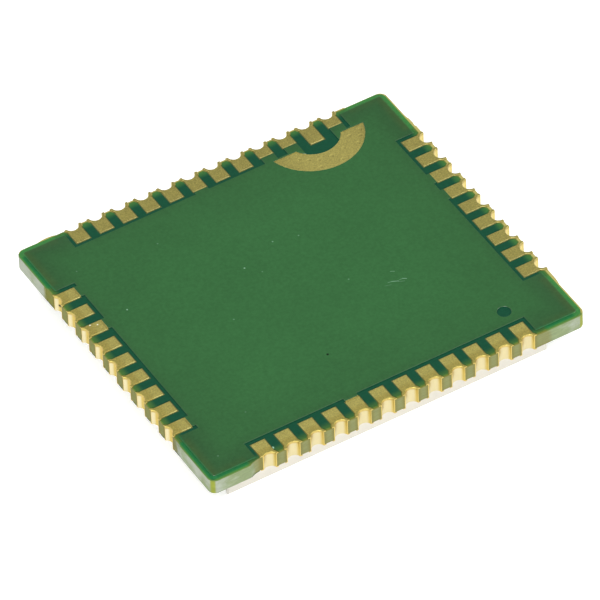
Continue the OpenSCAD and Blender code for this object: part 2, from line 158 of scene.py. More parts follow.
class BoardSizes(bpy.types.PropertyGroup):
    """Roundings of the board and of the mask on it."""
    rim_r: length("Board rim", "Rounding of the routed rim", 0.03)
    step_r: length("Mask step", "Rounding of the mask where it steps over the copper", 0.016)


class ArcSizes(bpy.types.PropertyGroup):
    """Sizes of the bare ground arc."""
    outer_r: length("Outer radius", "Outer radius of the arc", 2.23)
    inner_r: length("Inner radius", "Inner radius of the arc", 1.22)
    via_r: length("Via radius", "Radius of a plugged via's cap", 0.11)
    via_h: length("Via height", "Height of a plugged via's cap", 0.008)
    rim_r: length("Arc rim", "Rounding of the arc's etched rim", 0.02)
    inner_gap: length("Inner row", "Distance of the inner vias from the inner edge", 0.36)
    outer_gap: length("Outer row", "Distance of the outer vias from the outer edge", 0.21)


class Colours(bpy.types.PropertyGroup):
    """Colours of the finishes."""
    gold: colour("Gold", "Gold plating on the pads", (216, 204, 116))
    # Painted highlight: faces of the pads that don't face up are painted in this paler gold
    gold_edge_highlight: colour("Gold edge", "Paler plating on the sloping edges of the pads", (238, 228, 164))
    # Painted highlight: the plating in the half holes is painted paler than the gold of the pads
    barrel: colour("Barrel", "Paler plating in the half holes", (205, 193, 150))
    # Painted shade: the sides of the half holes that face left are painted yellower and darker
    shaded_barrel_side: colour(
        "Barrel side", "Yellower plating on the sides of the half holes that face left", (201, 176, 88))
    # Painted highlight: on the left edge, the parts of the half holes that face the front are painted paler
    highlit_left_barrel: colour("Left barrel", "Paler plating on the left edge that faces the front", (222, 211, 170))
    right_barrel: colour(
        "Right barrel", "Yellower plating in the half holes of the right edge", (216, 198, 124))
    pad_dust: colour("Pad dust", "Dust on the pads", (250, 246, 224))
    rim_gold: colour("Gold rim", "Plating at the upper rim of a half hole", (192, 170, 97))
    ring_gold: colour(
        "Gold by the holes", "Deeper plating beside the front and left half holes", (206, 191, 103))
    milled: colour("Milled plating", "Plating where the router cut it", (212, 188, 112))
    pour: colour("Mask on copper", "Solder mask over the ground copper", (48, 96, 53))
    pour_edge: colour("Mask near the edge", "The same mask towards the board's edge", (44, 82, 47))
    scorch: colour(
        "Mask at the copper's edge", "Brownish mask along the copper's edge at the corners", (56, 83, 45))
    trench: colour("Mask on laminate", "Solder mask over bare laminate", (14, 70, 48))
    tip: colour(
        "Mask at a finger's end", "Solder mask near the ends of the fingers between pads", (56, 94, 45))
    # The mask's own colour at a left finger's end, with a painted highlight on its rounded end
    left_tip: colour("Mask at a left finger's end", "The same mask on the left edge", (66, 103, 47))
    strip: colour(
        "Mask at the corners", "Solder mask on the laminate along the front and left corners", (30, 103, 56))
    far_strip: colour(
        "Mask at the far corners", "The same mask along the back and right corners", (56, 120, 60))
    edge: colour("Mask edge", "Thin edge of the solder mask between the contacts", (93, 114, 47))
    left_edge: colour("Mask edge on the left", "The same edge on the left of the board", (113, 126, 51))
    corner_edge: colour(
        "Mask edge at the corners", "Thin edge of the solder mask round the corners", (66, 124, 58))
    dust: colour("Dust", "Dust and scratches on the mask", (176, 222, 194))
    soot: colour("Dark speck", "Dark specks in the mask and in a half hole", (8, 20, 10))
    laminate: colour("Laminate", "Routed walls of the glass-fibre laminate", (127, 131, 82))
    # Painted shade: the walls of the left edge get less and warmer light, painted here as a darker, yellower
    # colour
    shaded_left_wall: colour("Left walls", "Yellower walls of the left edge", (117, 120, 52))
    resin: colour("Resin", "Greenish resin on the corner walls", (132, 147, 106))
    fibre: colour("Glass fibre", "Rough corner walls where glass fibre shows", (162, 170, 152))
    stain: colour("Stain", "Yellow stains beside the half holes and at the foot", (118, 108, 40))
    corner_line: colour("Corner line", "Resin on the upright edges of the corners", (140, 150, 50))
    rim: colour("Laminate rim", "Bare rim of the laminate between the contacts", (114, 114, 46))
    corner_rim: colour("Corner rim", "Greener rim of the laminate round the corners", (92, 122, 56))
    far_rim: colour("Far rim", "Paler rim of the laminate on the back and right edges", (172, 162, 92))
    bare: colour("Bare laminate", "Bare laminate in the gaps round the pads", (112, 112, 62))
    tin: colour("Tin", "Tinned sheet of the can", (221, 217, 209))
    solder: colour("Solder", "Solder balls", (196, 197, 199))
    moulding: colour("Moulding", "Black moulding compound", (38, 38, 40))
    pale_ceramic: colour("Pale ceramic", "Ceramic base of a crystal", (216, 210, 194))
    ceramic: colour("Ceramic", "Body of a chip capacitor", (178, 150, 114))
    ferrite: colour("Ferrite", "Body of a chip inductor", (88, 86, 84))


class StageSettings(bpy.types.PropertyGroup):
    """The floor, the light and the camera."""
    floor_s: length("Floor size", "Side of the floor", 3000)
    floor: colour("Floor", "Colour of the floor", (244, 244, 242))
    floor_glow: bpy.props.FloatProperty(
        name="Floor glow", description="White that the camera and the metal see", default=0.4, min=0, max=1)
    sky_low: bpy.props.FloatProperty(
        name="Low sky", description="Light from near the horizon", default=0.95, min=0, max=1)
    sky_high: bpy.props.FloatProperty(
        name="High sky", description="Light from above and behind", default=0.45, min=0, max=1)
    sky_front: bpy.props.FloatProperty(
        name="Front sky", description="Light from above in front", default=1.0, min=0, max=2)
    lens: bpy.props.FloatProperty(
        name="Lens", description="Focal length for a 36 mm sensor", default=506.19, min=1, unit="CAMERA")


GROUPS = {
    "gsm_contacts": ContactSizes,
    "gsm_board": BoardSizes,
    "gsm_arc": ArcSizes,
    "gsm_colours": Colours,
    "gsm_stage": StageSettings,
}


# Modelling

def pick(piece):
    """Makes one object the only selected one, and active."""
    bpy.ops.object.select_all(action="DESELECT")
    piece.select_set(True)
    bpy.context.view_layer.objects.active = piece


@contextlib.contextmanager
def editing(piece):
    """Edit mode on one object, with nothing selected at first."""
    pick(piece)
    bpy.ops.object.mode_set(mode="EDIT")
    bpy.ops.mesh.select_mode(type="EDGE")
    bpy.ops.mesh.select_all(action="DESELECT")
    yield
    bpy.ops.object.mode_set(mode="OBJECT")


def select_edges(piece, test):
    """Selects, in edit mode, the edges that pass a test."""
    mesh = bmesh.from_edit_mesh(piece.data)
    chosen = 0
    for edge in mesh.edges:
        edge.select = test(edge)
        chosen += edge.select
    mesh.select_flush_mode()
    bmesh.update_edit_mesh(piece.data)
    if not chosen:
        raise RuntimeError(f"no edge of {piece.name} was found to shape")


def sharp_at(edge, levels):
    """Whether a sharp edge lies flat at one of these heights."""
    one, other = (vertex.co.z for vertex in edge.verts)
    on_level = any(abs(one - level) < NEAR and abs(other - level) < NEAR for level in levels)
    return on_level and edge.calc_face_angle(0) > SHARP


def upright_at(edge, reach):
    """Whether an edge stands upright at this distance along Y."""
    one, other = (vertex.co for vertex in edge.verts)
    return abs(one.y - reach) < NEAR and (one - other).to_2d().length < NEAR


def round_plateau(piece, level, radius, up):
    """Rounds the rim of a flat top (up is 1) or underside (up is -1) by insets, and fills it anew."""
    def flat(vertices):
        return all(abs(vertex.co.z - level) < NEAR for vertex in vertices)

    with editing(piece):
        bpy.ops.mesh.select_mode(type="FACE")
        mesh = bmesh.from_edit_mesh(piece.data)
        for face in mesh.faces:
            face.select_set(flat(face.verts) and face.normal.z * up > 0.5)
        bmesh.update_edit_mesh(piece.data)
        bpy.ops.transform.translate(value=(0, 0, -up * radius))
        angles = [math.radians(angle) for angle in ROUNDING]
        for start, end in zip(angles, angles[1:]):
            bpy.ops.mesh.inset(
                thickness=radius * (math.cos(start) - math.cos(end)),
                depth=radius * (math.sin(end) - math.sin(start)))
        bpy.ops.mesh.delete(type="FACE")
        bpy.ops.mesh.select_mode(type="EDGE")
        select_edges(piece, lambda edge: edge.is_boundary and flat(edge.verts))
        bpy.ops.mesh.fill(use_beauty=True)
        bpy.ops.mesh.select_all(action="SELECT")
        bpy.ops.mesh.normals_make_consistent(inside=False)


def settle(name):
    """Names the new primitive and puts its place into its mesh."""
    piece = bpy.context.object
    piece.name = name
    piece.data.name = name
    bpy.ops.object.transform_apply(location=True, rotation=True, scale=True)
    return piece


def block(name, low, high):
    """A block between two corners."""
    low = Vector(low)
    high = Vector(high)
    bpy.ops.object.select_all(action="DESELECT")
    bpy.ops.mesh.primitive_cube_add(size=1, location=(low + high) / 2, scale=high - low)
    return settle(name)


def rod(name, radius, middle, low_z, high_z, sides=ROUND):
    """An upright round rod."""
    bpy.ops.object.select_all(action="DESELECT")
    bpy.ops.mesh.primitive_cylinder_add(
        vertices=sides, radius=radius, depth=high_z - low_z,
        location=(middle[0], middle[1], (low_z + high_z) / 2))
    return settle(name)


def apply_modifier(piece, kind, **settings):
    """Adds a modifier and applies it."""
    pick(piece)
    modifier = piece.modifiers.new(kind.title(), kind)
    for name, value in settings.items():
        setattr(modifier, name, value)
    bpy.ops.object.modifier_apply(modifier=modifier.name)


def combine(piece, other, operation):
    """Unites a piece with another, or cuts the other away, and uses it up."""
    apply_modifier(piece, "BOOLEAN", operation=operation, object=other, solver="EXACT")
    bpy.data.objects.remove(other)


def copy_node(node, name):
    """A merged copy of a CAD node's mesh."""
    piece = bpy.data.objects.new(name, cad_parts[node].data.copy())
    piece.data.name = name
    bpy.context.collection.objects.link(piece)
    with editing(piece):
        bpy.ops.mesh.select_all(action="SELECT")
        bpy.ops.mesh.remove_doubles(threshold=MERGE)
    return piece


def copy_to(piece, name, matrix):
    """A copy with its own mesh, moved by a matrix that goes into its mesh."""
    pick(piece)
    bpy.ops.object.duplicate()
    twin = bpy.context.object
    twin.name = name
    twin.data.name = name
    twin.matrix_world = matrix
    bpy.ops.object.transform_apply(location=True, rotation=True, scale=True)
    return twin


def finish_piece(piece, material, slot, *nodes):
    """Gives a piece its material and its place in the frame."""
    pick(piece)
    bpy.ops.object.shade_smooth_by_angle(angle=SMOOTH)
    if piece.data.materials:
        piece.data.materials.clear()
    piece.data.materials.append(material)
    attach(piece, "root")
    if nodes:
        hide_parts(*nodes)


# Shader maths

class Value:
    """A shader socket. Python maths on it adds Math nodes."""

    def __init__(self, finish, socket):
        self.finish = finish
        self.socket = socket

    def __add__(self, other):
        return self.finish.maths("ADD", self, other)

    def __sub__(self, other):
        return self.finish.maths("SUBTRACT", self, other)

    def __rsub__(self, other):
        return self.finish.maths("SUBTRACT", other, self)

    def __mul__(self, other):
        return self.finish.maths("MULTIPLY", self, other)

    def __truediv__(self, other):
        return self.finish.maths("DIVIDE", self, other)

    def __abs__(self):
        return self.finish.maths("ABSOLUTE", self)

    __radd__ = __add__
    __rmul__ = __mul__


class Finish:
    """A node tree in the making."""

    def __init__(self, owner):
        owner.use_nodes = True
        self.owner = owner
        self.tree = owner.node_tree
        self.tree.nodes.clear()

    def node(self, kind, settings, sockets, output=0):
        """Adds a node: its settings first, then the values or links of its sockets."""
        made = self.tree.nodes.new(kind)
        for name, value in settings.items():
            setattr(made, name, value)
        for key, value in sockets.items():
            socket = made.inputs[key]
            if isinstance(value, Value):
                self.tree.links.new(value.socket, socket)
            elif hasattr(value, "__len__") and len(value) == 3 and socket.type == "RGBA":
                socket.default_value = (*value, 1)
            else:
                socket.default_value = value
        return Value(self, made.outputs[output]) if made.outputs else None

    def maths(self, operation, *values):
        return self.node("ShaderNodeMath", {"operation": operation}, dict(enumerate(values)))

    def lower(self, one, other):
        return self.maths("MINIMUM", one, other)

    def higher(self, one, other):
        return self.maths("MAXIMUM", one, other)

    def rise(self, value, start, end):
        """0 before start, 1 after end, and a smooth rise between."""
        return self.node(
            "ShaderNodeMapRange", {"interpolation_type": "SMOOTHSTEP"},
            {"Value": value, "From Min": start, "From Max": end})

    def rise_under(self, value, top, start, end):
        """A rise between two depths under a top, or between two distances inside an edge."""
        return self.rise(value, top - start, top - end)

    def mix(self, factor, one, other):
        """One colour where the factor is 0, the other where it is 1."""
        return self.node("ShaderNodeMix", {"data_type": "RGBA"}, {0: factor, 6: one, 7: other}, 2)

    def tone(self, colour_value, gain):
        """A colour times a varying gain."""
        return self.node(
            "ShaderNodeVectorMath", {"operation": "SCALE"}, {0: colour_value, "Scale": gain})

    def place(self):
        """The point on the piece in millimetres."""
        here = self.node("ShaderNodeTexCoord", {}, {}, "Object")
        return self.node("ShaderNodeVectorMath", {"operation": "SCALE"}, {0: here, "Scale": 1 / MM})

    def part(self, vector, axis):
        """A vector's part along an axis: 0 for x, 1 for y and 2 for z."""
        return self.node("ShaderNodeSeparateXYZ", {}, {0: vector}, axis)

    def parts(self, vector):
        """A vector's x, y and z."""
        return [self.part(vector, axis) for axis in range(3)]

    def stretch(self, spot, scale):
        return self.node("ShaderNodeVectorMath", {"operation": "MULTIPLY"}, {0: spot, 1: scale})

    def apart(self, spot, place):
        """The distance of a point from a place, in millimetres."""
        return self.node("ShaderNodeVectorMath", {"operation": "DISTANCE"}, {0: spot, 1: place}, 1)

    def facing(self, axis):
        """The part of the surface's normal along an axis, from -1 to 1."""
        normal = self.node("ShaderNodeNewGeometry", {}, {}, "Normal")
        return self.part(normal, axis)

    def noise(self, spot, scale, detail=2.0):
        """Soft noise from 0 to 1, with so many bumps in a millimetre."""
        return self.node("ShaderNodeTexNoise", {}, {"Vector": spot, "Scale": scale, "Detail": detail})

    def bump(self, height, strength, distance):
        return self.node(
            "ShaderNodeBump", {}, {"Height": height, "Strength": strength, "Distance": distance})

    def surface(self, **sockets):
        """The shader itself; the sockets' names are written with underscores."""
        named = {name.replace("_", " "): value for name, value in sockets.items()}
        shader = self.node("ShaderNodeBsdfPrincipled", {}, named)
        self.node("ShaderNodeOutputMaterial", {}, {"Surface": shader})
        return self.owner


def new_finish(name):
    return Finish(bpy.data.materials.new(f"{name}_look"))


def look(name):
    """A material that was made before."""
    return bpy.data.materials[f"{name}_look"]


# Finishes

# Bands in which a finish changes, in millimetres. These lie along X or Y, from the middle of the part
HOLE_RIM_X = (8.38, 8.46)
HOLE_RIM_Y = (7.44, 7.52)
BY_HOLE_X = (8.14, 8.36)
BY_HOLE_Y = (7.2, 7.4)
LEFT_PADS = (-7.5, -7.2)
BACK_PADS = (6.5, 6.8)
RIGHT_PADS = (7.4, 7.8)
LEFT_HOLES = (-8.4, -8.2)
RIGHT_HOLES = (8.2, 8.4)
ARC_FRONT = (4.8, 4.9)
ARC_BACK = (6.6, 6.65)
CORNER_X = (6.85, 7.05)
CORNER_Y = (5.1, 5.3)
LEFT_WALLS = (-8.6, -8.5)
END_WALLS = (8.4, 8.45)
BACK_WALLS = (0, 5)
FAR_RIM_X = (8.6, 8.7)
FAR_RIM_Y = (7.6, 7.7)
# This lies along X and Y together, at the upright edges of the corners
UPRIGHT_EDGES = (16.28, 16.32)
# The middle of the arc along X, and bands along X from there
ARC_X = 4.95
ARC_SIDES = (2.3, 2.4)
ARC_ENDS = (0.9, 2.1)
# The middle between the rough walls of the corners, and bands along X and Y from there
ROUGH_MIDDLE = Vector((0.2, 0.25))
ROUGH_X = (7.0, 7.2)
ROUGH_Y = (5.35, 5.55)
# These are heights over the can's outer face
SOLDER_SIDE = (1.9, 2.0)
WALL_FOOT = (1.55, 1.75)
# These are depths under the top of a pad, of the mask or of the laminate
HOLE_TOP = (0.1, 0.045)
RIM_FOOT = (0.16, 0.06)
RIM_TOP = (0.012, 0.004)
ON_COPPER = (0.034, 0.006)
STEP_FOOT = (0.03, 0.02)
STEP_TOP = (0.0016, 0.0004)
LAMINATE_RIM = (0.045, 0.01)
# These are distances inside the outline of the mask, of the ground copper or of the laminate
NEAR_EDGE = (0.5, 0.3)
FINGER_END = (0.06, 0.42)
MASK_EDGE = (0.0, 0.09)
POUR_EDGE = (0.0, 0.06)
POUR_RIM = (0.05, 1.6)
POUR_MIDDLE = (1.5, 4.5)
SCORCHED = (0.05, 0.45)
BARE_GAPS = (0.28, 0.34)
# How far stains reach from a half hole, and over what length they fade at the end of a row
STAIN_W = 0.18
ROW_FADE = 0.1

# Bands of the normal's part along an axis, in which highlight and shade are painted by the way a face turns
FACES_LEFT = (0.6, 0.95)
FACES_FRONT = (0.3, 0.8)
FACES_UP = (0.5, 0.95)
CAP_LEAN = (-0.14, 0.14)
CAP_TILT = (0.9, 0.94)

# How much duller the gold is in places, with painted shade at the back and on the right, and how strong the
# painted light and shade on the vias' caps is
BACK_SHADE = 0.23
RIGHT_SHADE = 0.19
LEFT_DULL = 0.05
ARC_DULL = 0.05
ARC_END_DULL = 0.13
CAP_SHADE = 0.5
# Noise from which glass fibre shows
FIBRE_SHOWS = (0.38, 0.6)


def speck(finish, spot, place, radius):
    """1 in a small round spot and 0 round it."""
    return 1 - finish.rise(finish.apart(spot, place), radius * SPECK_CORE, radius)


def gold_finish(colours):
    """Gold plating, satin and grainy: paler down in the half holes and on sloping faces as painted highlight,
    with painted light and shade on the vias' caps, and duller at the back and on the right as painted shade.
    """
    finish = new_finish("gold_plating")
    spot = finish.place()
    x, y, z = finish.parts(spot)
    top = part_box("contact_01")[1].z / MM
    grain = finish.noise(spot, scale=17, detail=3)
    cloud = finish.noise(spot, scale=2.5)
    in_hole = 1 - finish.rise_under(z, top, *HOLE_TOP)
    at_edge = finish.higher(finish.rise(abs(x), *HOLE_RIM_X), finish.rise(abs(y), *HOLE_RIM_Y))
    at_rim = at_edge * finish.rise_under(z, top, *RIM_FOOT) * (1 - finish.rise_under(z, top, *RIM_TOP))
    from_arc = abs(x - ARC_X)
    on_arc = finish.rise(y, *ARC_FRONT) * (1 - finish.rise(y, *ARC_BACK))
    on_arc = on_arc * (1 - finish.rise(from_arc, *ARC_SIDES))
    # Painted light and shade on the vias' caps: lighter where a cap leans to the back, darker where it leans
    # to the front
    lean = finish.rise(finish.facing(1), *CAP_LEAN) - 0.5
    cap = on_arc * finish.rise(finish.facing(2), *CAP_TILT) * lean * CAP_SHADE
    # Painted shade: the pads are painted duller towards the back and the right edge
    back = finish.rise(y, *BACK_PADS) * (1 - in_hole)
    right = finish.rise(x, *RIGHT_PADS) * (1 - in_hole)
    left = 1 - finish.rise(x, *LEFT_PADS)
    arc_dull = on_arc * (finish.rise(from_arc, *ARC_ENDS) * ARC_END_DULL + ARC_DULL)
    far_shade = finish.higher(back * BACK_SHADE, right * RIGHT_SHADE)
    dull = finish.higher(far_shade, finish.higher(left * LEFT_DULL, arc_dull))
    # Painted shade where the walls of the half holes face left, and painted highlight where they face the
    # front on the left edge
    side = finish.rise(finish.facing(0) * -1, *FACES_LEFT)
    frontal = finish.rise(finish.facing(1) * -1, *FACES_FRONT) * (1 - finish.rise(x, *LEFT_HOLES))
    barrel = finish.mix(side, colours.barrel, colours.shaded_barrel_side)
    barrel = finish.mix(frontal, barrel, colours.highlit_left_barrel)
    barrel = finish.mix(finish.rise(x, *RIGHT_HOLES), barrel, colours.right_barrel)
    # Painted highlight: faces that turn away from up take the paler edge gold
    base = finish.mix(finish.rise(abs(finish.facing(2)), *FACES_UP), colours.gold_edge_highlight, colours.gold)
    by_hole = finish.higher(finish.rise(x * -1, *BY_HOLE_X), finish.rise(y * -1, *BY_HOLE_Y))
    base = finish.mix(by_hole, base, colours.ring_gold)
    base = finish.mix(at_rim, finish.mix(in_hole, base, barrel), colours.rim_gold)
    base = finish.tone(base, (grain - 0.5) * (1.1 - in_hole) * 0.8 + cloud * 0.1 + cap + 0.95 - dull)
    dust = finish.higher(*(speck(finish, spot, place, PAD_DUST_R) for place in PAD_DUST))
    base = finish.mix(speck(finish, spot, BARREL_SPECK, BARREL_SPECK_R), base, colours.soot)
    return finish.surface(
        Base_Color=finish.mix(dust, base, colours.pad_dust),
        Metallic=1 - dust,
        Roughness=grain * 0.16 + 0.28,
        Normal=finish.bump(grain, strength=0.35, distance=0.004 * MM))


def milled_finish(colours):
    """Plating and copper where the router cut them."""
    finish = new_finish("milled_plating")
    streak = finish.noise(finish.stretch(finish.place(), (1, 1, 4)), scale=10, detail=3)
    return finish.surface(
        Base_Color=finish.tone(colours.milled, streak * 0.5 + 0.75),
        Metallic=1.0,
        Roughness=streak * 0.2 + 0.4,
        Normal=finish.bump(streak, strength=0.3, distance=0.004 * MM))


def outline_gap(finish, x, y, half_x, half_y):
    """How far a point lies inside an outline box round the middle, in millimetres."""
    return finish.lower(half_x - abs(x), half_y - abs(y))


def at_corner(finish, x, y):
    """1 at the four corners of the board, beyond the rows of contacts, and 0 along the rows."""
    return finish.rise(abs(x), *CORNER_X) * finish.rise(abs(y), *CORNER_Y)


def scratch(finish, x, y, start_x, start_y, end_x, end_y):
    """1 on a short straight line and 0 round it."""
    run = Vector((end_x - start_x, end_y - start_y))
    along = ((x - start_x) * run.x + (y - start_y) * run.y) / run.length_squared
    along = finish.lower(finish.higher(along, 0), 1)
    aside = x - start_x - along * run.x
    ahead = y - start_y - along * run.y
    far = finish.maths("SQRT", aside * aside + ahead * ahead)
    return 1 - finish.rise(far, 0, SCRATCH_W)


def mask_finish(colours):
    """Green solder mask: lighter over the ground copper, deep in the trenches, brighter at the edge."""
    finish = new_finish("green_mask")
    spot = finish.place()
    x, y, z = finish.parts(spot)
    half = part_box("solder_side_mask")[1] / MM
    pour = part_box("ground_pour")[1] / MM
    cloud = finish.noise(spot, scale=0.35, detail=3)
    patch = finish.noise(spot, scale=1.3, detail=3)
    grain = finish.noise(spot, scale=8, detail=4)
    solder_side = finish.rise(z, *SOLDER_SIDE)
    on_copper = finish.higher(finish.rise_under(z, half.z, *ON_COPPER), 1 - solder_side)
    inside = outline_gap(finish, x, y, half.x, half.y)
    inside_pour = outline_gap(finish, x, y, pour.x, pour.y)
    corner = at_corner(finish, x, y)
    far = finish.higher(finish.rise_under(x, half.x, *NEAR_EDGE), finish.rise_under(y, half.y, *NEAR_EDGE))
    on_left = finish.rise_under(x * -1, half.x, *NEAR_EDGE)
    # The left fingers' ends carry a painted highlight on their rounded ends
    tip = finish.mix(far * 0.4, finish.mix(on_left, colours.tip, colours.left_tip), colours.far_strip)
    finger = finish.mix(finish.rise(inside, *FINGER_END), tip, colours.trench)
    strip = finish.mix(far, colours.strip, colours.far_strip)
    edge = finish.mix(corner, finish.mix(on_left, colours.edge, colours.left_edge), colours.corner_edge)
    bare = finish.mix(finish.rise(inside, *MASK_EDGE), edge, finish.mix(corner, finger, strip))
    middle = finish.rise(inside_pour, *POUR_RIM) * 0.77 + finish.rise(inside_pour, *POUR_MIDDLE) * 0.23
    covered = finish.mix(middle * solder_side, colours.pour_edge, colours.pour)
    at_end = 1 - finish.rise(pour.x - abs(x), *SCORCHED)
    at_side = 1 - finish.rise(pour.y - abs(y), *SCORCHED)
    scorched = finish.higher(at_end, at_side * 0.5) * corner * (patch * 0.8 + 0.5) * solder_side
    covered = finish.mix(scorched, covered, colours.scorch)
    soft_edge = (1 - finish.rise(inside_pour, *POUR_EDGE)) * 0.6 * solder_side
    covered = finish.mix(soft_edge, covered, strip)
    base = finish.mix(on_copper, bare, covered)
    dust = 0
    plan = finish.stretch(spot, (1, 1, 0))
    for middle_x, middle_y, radius, strength in SPECKS:
        dust = finish.higher(dust, speck(finish, plan, (middle_x, middle_y, 0), radius) * strength)
    for *ends, strength in SCRATCHES:
        dust = finish.higher(dust, scratch(finish, x, y, *ends) * strength)
    base = finish.mix(dust * solder_side, base, colours.dust)
    base = finish.mix(speck(finish, plan, DARK_SPECK, DARK_SPECK_R) * solder_side, base, colours.soot)
    step = finish.rise_under(z, half.z, *STEP_FOOT) * (1 - finish.rise_under(z, half.z, *STEP_TOP))
    return finish.surface(
        Base_Color=finish.tone(base, cloud * 0.16 + grain * 0.5 + 0.69),
        Roughness=grain * 0.1 + 0.36,
        Specular_IOR_Level=0.12,
        Coat_Weight=step * 0.6,
        Coat_IOR=2.2,
        Coat_Roughness=0.15,
        Normal=finish.bump(grain, strength=0.2, distance=0.004 * MM))


def beside_contact(finish, along, count):
    """1 close beside the half holes of an edge with so many contacts, and 0 away from them."""
    sizes = bpy.context.scene.gsm_contacts
    pitch = sizes.pitch / MM
    hole = (sizes.hole_r + sizes.plating_t) / MM
    aside = abs(finish.maths("FRACT", along / pitch + count / 2) - 0.5) * pitch
    row_end = count * pitch / 2
    in_row = 1 - finish.rise(abs(along), row_end - ROW_FADE, row_end)
    return (1 - finish.rise(aside, hole, hole + STAIN_W)) * in_row


def laminate_finish(colours):
    """Routed glass-fibre laminate: olive between the contacts, pale and rough at the corners, with painted
    shade on the walls of the left edge.
    """
    finish = new_finish("laminate")
    spot = finish.place()
    x, y, z = finish.parts(spot)
    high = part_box("laminate")[1] / MM
    rough = finish.noise(spot, scale=9, detail=4)
    fray = finish.noise(finish.stretch(spot, (1, 1, 0.5)), scale=3, detail=3) * 0.4
    layers = finish.noise(finish.stretch(spot, (1, 1, 9)), scale=2.5, detail=4)
    patch = finish.noise(finish.stretch(spot, (0.6, 0.6, 1)), scale=1.6, detail=3)
    corner = finish.rise(abs(x - ROUGH_MIDDLE.x) + fray, *ROUGH_X)
    corner = corner * finish.rise(abs(y - ROUGH_MIDDLE.y) + fray, *ROUGH_Y)
    glass = finish.rise(patch + finish.rise(y, *BACK_WALLS) * 0.1, *FIBRE_SHOWS)
    glassy = finish.mix(glass, colours.resin, colours.fibre)
    # Painted shade on the walls of the left edge
    plain = finish.mix(finish.rise(x, *LEFT_WALLS), colours.shaded_left_wall, colours.laminate)
    wall = finish.mix(corner, plain, glassy)
    wall = finish.mix(finish.rise(abs(x) + abs(y), *UPRIGHT_EDGES), wall, colours.corner_line)
    wall = finish.tone(wall, layers * 0.5 + rough * 0.24 + 0.63)
    on_end = finish.rise(abs(x), *END_WALLS)
    long_edge = beside_contact(finish, x, EDGE_COUNTS[0])
    short_edge = beside_contact(finish, y, EDGE_COUNTS[1])
    foot = 1 - finish.rise(z, *WALL_FOOT)
    stained = finish.higher(on_end * short_edge + (1 - on_end) * long_edge, foot * (1 - corner) * 0.5)
    wall = finish.mix(stained * 0.6, wall, colours.stain)
    rim = finish.rise_under(z, high.z, *LAMINATE_RIM)
    in_gaps = finish.rise(outline_gap(finish, x, y, high.x, high.y), *BARE_GAPS)
    edge = finish.mix(at_corner(finish, x, y), colours.rim, colours.corner_rim)
    far = finish.higher(finish.rise(x, *FAR_RIM_X), finish.rise(y, *FAR_RIM_Y))
    edge = finish.mix(in_gaps, finish.mix(far, edge, colours.far_rim), colours.bare)
    return finish.surface(
        Base_Color=finish.mix(rim, wall, edge),
        Roughness=rough * 0.2 + 0.5,
        Specular_IOR_Level=0.3,
        Normal=finish.bump(rough * 0.6 + layers, strength=0.6, distance=0.02 * MM))


def tin_finish(colours):
    """Tinned sheet: bright, with faint rolling marks and smudges."""
    finish = new_finish("tin_sheet")
    spot = finish.place()
    rolled = finish.noise(finish.stretch(spot, (0.4, 9, 9)), scale=3, detail=3)
    cloud = finish.noise(spot, scale=0.5, detail=3)
    return finish.surface(
        Base_Color=finish.tone(colours.tin, rolled * 0.08 + cloud * 0.08 + 0.9),
        Metallic=1.0,
        Roughness=rolled * 0.14 + cloud * 0.1 + 0.24,
        Normal=finish.bump(rolled, strength=0.15, distance=0.003 * MM))


def plain_finish(name, shown, metallic, roughness, scale):
    """A part under the shield: one colour with a fine grain."""
    finish = new_finish(name)
    grain = finish.noise(finish.place(), scale, detail=3)
    return finish.surface(
        Base_Color=finish.tone(shown, grain * 0.3 + 0.85),
        Metallic=metallic,
        Roughness=grain * 0.2 + roughness,
        Normal=finish.bump(grain, strength=0.3, distance=0.006 * MM))


# Pieces

# Share of the hole's radius beyond which a contact's face isn't the wall of its hole
OFF_BORE = 1.02
# A face whose normal points this far out of the board was cut by the router
MILLED_FACING = -0.7


def edge_of(number):
    """The edge that a contact is on: 0 front, 1 left, 2 back, 3 right."""
    last = 0
    for edge, count in enumerate(EDGE_COUNTS):
        last += count
        if number <= last:
            return edge
    raise ValueError(f"there is no contact {number}")


def contact_box(number):
    """The turn of a contact's edge, and the contact's box with local +Y into the board."""
    turn = Matrix.Rotation(math.radians(-90 * edge_of(number)), 4, "Z")
    one, other = (turn.inverted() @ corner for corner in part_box(f"contact_{number:02d}"))
    low = Vector(map(min, one, other))
    high = Vector(map(max, one, other))
    return turn, low, high


def along_edge(number, pitch):
    """The distance of a contact's middle from the middle of its edge."""
    edge = edge_of(number)
    place = number - sum(EDGE_COUNTS[:edge])
    return ((EDGE_COUNTS[edge] + 1) / 2 - place) * pitch


def pad_size(number, sizes):
    """The width and the length of a contact's pad."""
    if number == ANTENNA:
        return sizes.antenna_w, sizes.antenna_l
    if number in GUARDS:
        return sizes.pad_w, sizes.guard_l
    return sizes.pad_w, sizes.pad_l


